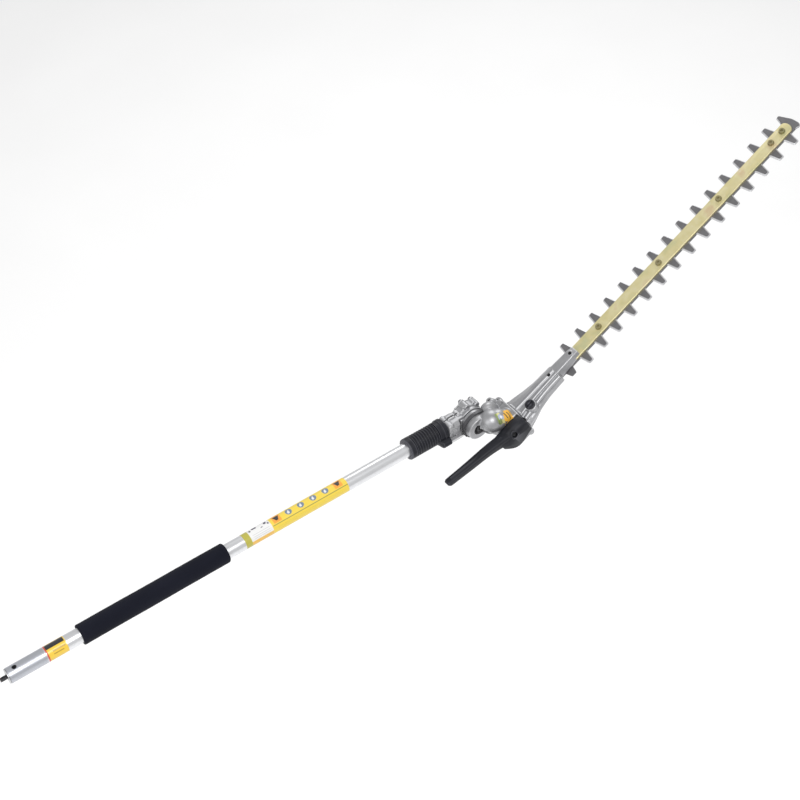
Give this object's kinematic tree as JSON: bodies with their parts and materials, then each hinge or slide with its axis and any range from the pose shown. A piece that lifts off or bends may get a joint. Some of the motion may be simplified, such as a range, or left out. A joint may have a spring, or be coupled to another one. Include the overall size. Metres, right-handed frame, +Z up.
{
  "type": "hedge trimmer",
  "caption": "Long-reach hedge-trimmer attachment: a straight drive tube with a foam grip, a lockable pivot joint, a die-cast gear head with a handle lever and double-sided sliding blades.",
  "frame": {"origin": "centre of the drive rod's end face, where the power unit's coupling takes hold", "axes": "+X along the shaft to the head, +Z up, -Y to the side that the head sits on"},
  "size_m": [1.4917, 0.1073, 0.3716],
  "materials": {
    "tube_aluminium": "bright anodised, drawn along its length",
    "cast_aluminium": "die cast, shot blasted, softly glossy",
    "blade_steel": "ground tool steel, oiled",
    "yellow_zinc": "yellow passivated zinc plate",
    "machined_steel": "plated steel",
    "dark_steel": "blackened steel",
    "black_plastic": "fine grained black nylon",
    "black_foam": "closed-cell foam with a fine open skin",
    "label": "printed film under clear laminate"
  },
  "bodies": {
    "shaft": {"shaft_tube": "tube_aluminium", "end_bush": "machined_steel", "liner_bush_1": "black_plastic", "liner_bush_2": "black_plastic", "liner_bush_3": "black_plastic", "foam_grip": "black_foam", "knuckle_housing": "cast_aluminium", "knuckle_cover": "cast_aluminium", "knuckle_screw_1": "machined_steel", "knuckle_screw_2": "machined_steel", "knuckle_screw_3": "machined_steel", "knuckle_screw_4": "machined_steel", "knuckle_screw_5": "machined_steel", "pinion_bearing": "machined_steel", "clamp_bolt": "machined_steel", "release_spring": "machined_steel", "idler_bearing": "machined_steel"},
    "drive": {"drive_shaft": "dark_steel", "shaft_pinion": "machined_steel"},
    "sleeve": {"release_sleeve": "black_plastic", "latch_bar": "machined_steel"},
    "idler": {"idler_shaft": "machined_steel", "idler_input_gear": "machined_steel", "idler_output_gear": "machined_steel"},
    "head": {"head_housing": "cast_aluminium", "index_ring": "dark_steel", "pivot_bolt": "dark_steel", "head_pinion_bearing": "machined_steel", "crank_bearing": "machined_steel", "lower_cover": "cast_aluminium", "cover_screw_1": "machined_steel", "cover_screw_2": "machined_steel", "cover_screw_3": "machined_steel", "cover_screw_4": "machined_steel", "gear_case": "cast_aluminium", "case_bottom_cover": "cast_aluminium", "grease_plug": "black_plastic", "case_screw_1": "dark_steel", "case_screw_2": "dark_steel", "handle_lever": "black_plastic", "handle_bolt": "dark_steel", "guide_bar": "yellow_zinc", "blade_bolt_1": "yellow_zinc", "blade_bolt_2": "yellow_zinc", "blade_bolt_3": "yellow_zinc", "blade_bolt_4": "yellow_zinc", "blade_bolt_5": "yellow_zinc", "blade_nut_1": "yellow_zinc", "blade_nut_2": "yellow_zinc", "blade_nut_3": "yellow_zinc", "blade_nut_4": "yellow_zinc", "blade_nut_5": "yellow_zinc"},
    "pinion": {"head_pinion": "machined_steel"},
    "crank": {"crank_gear": "machined_steel"},
    "upper_cutter": {"upper_blade": "blade_steel", "upper_fork": "machined_steel"},
    "lower_cutter": {"lower_blade": "blade_steel", "lower_fork": "machined_steel"}
  },
  "joints": [
    {"name": "drive_spin", "type": "hinge", "parent": "shaft", "child": "drive", "pos_m": [0.4, 0, 0], "axis": [1, 0, 0], "continuous": true},
    {"name": "release_slide", "type": "slide", "parent": "shaft", "child": "sleeve", "axis": [-1, 0, 0], "range_m": [0, 0.012], "stiffness_N_per_m": 1200, "springref_m": -0.008},
    {"name": "idler_spin", "type": "hinge", "parent": "shaft", "child": "idler", "pos_m": [0.836, 0, 0], "axis": [0, 1, 0], "continuous": true},
    {"name": "head_pivot", "type": "hinge", "parent": "shaft", "child": "head", "pos_m": [0.836, 0, 0], "axis": [0, -1, 0], "range_deg": [-120, 15]},
    {"name": "pinion_spin", "type": "hinge", "parent": "head", "child": "pinion", "pos_m": [0.84899, -0.042, 0.0075], "axis": [0.866, 0, 0.5], "continuous": true},
    {"name": "crank_spin", "type": "hinge", "parent": "head", "child": "crank", "pos_m": [0.88391, -0.042, -0.00698], "axis": [-0.5, 0, 0.866], "continuous": true},
    {"name": "upper_blade_slide", "type": "slide", "parent": "head", "child": "upper_cutter", "axis": [0.866, 0, 0.5], "range_m": [-0.008, 0.008]},
    {"name": "lower_blade_slide", "type": "slide", "parent": "head", "child": "lower_cutter", "axis": [0.866, 0, 0.5], "range_m": [-0.008, 0.008]}
  ],
  "couplings": [
    {"joint": "idler_spin", "follows": "drive_spin", "ratio": 0.75},
    {"joint": "pinion_spin", "follows": "drive_spin", "ratio": -0.85714},
    {"joint": "crank_spin", "follows": "drive_spin", "ratio": 0.6},
    {"joint": "lower_blade_slide", "follows": "upper_blade_slide", "ratio": -1}
  ]
}
